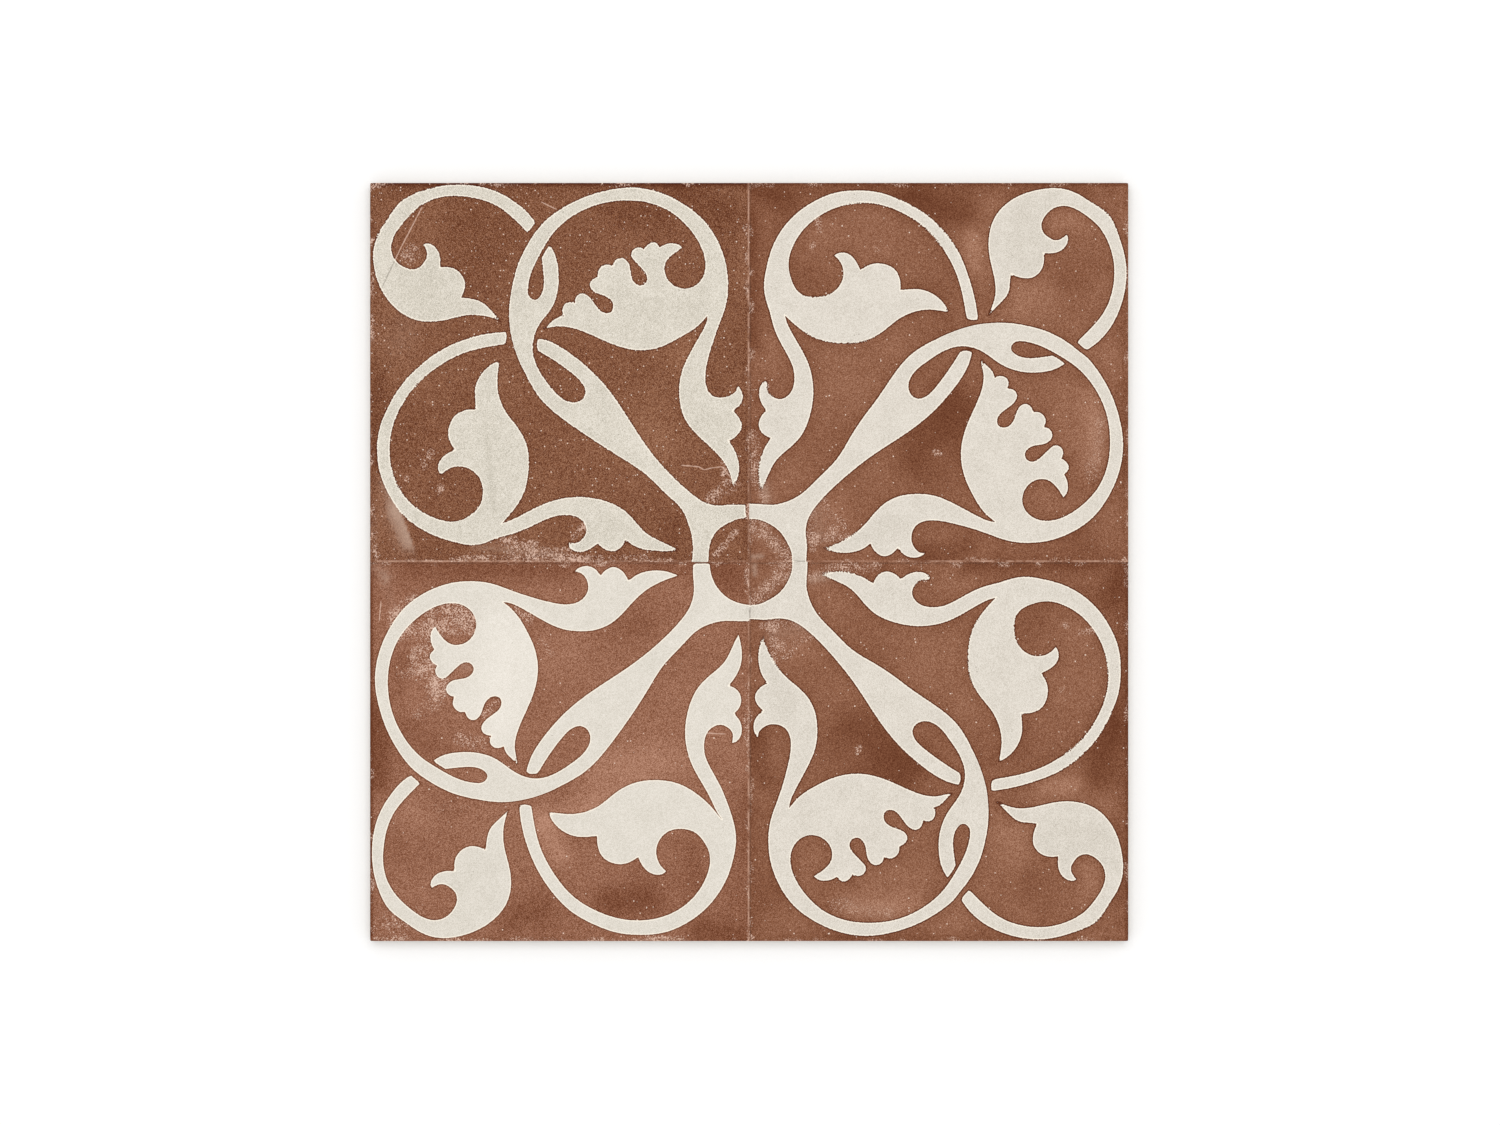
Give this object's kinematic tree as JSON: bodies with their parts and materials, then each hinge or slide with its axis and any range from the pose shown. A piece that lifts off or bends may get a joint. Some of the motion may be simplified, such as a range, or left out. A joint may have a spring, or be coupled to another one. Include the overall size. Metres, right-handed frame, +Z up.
{
  "type": "cement-look floor tile",
  "caption": "Square cement-look tile with a worn scroll ornament printed on its matt face and a back pressed with square keys, laid in adhesive as a floor or wall covering.",
  "frame": {"origin": "under the middle of the tile, on the plane of the back rib crowns that it rests on", "axes": "+Z up, out of the decorated face; +X and +Y along the sides, +Y towards the top edge of the face as it is shown"},
  "size_m": [0.45, 0.45, 0.01],
  "materials": {
    "tile": "matt, printed brown and cream with an aged cement look; bare fired body on the sides and back"
  },
  "bodies": {
    "root": {"tile": "tile"}
  },
  "joints": []
}
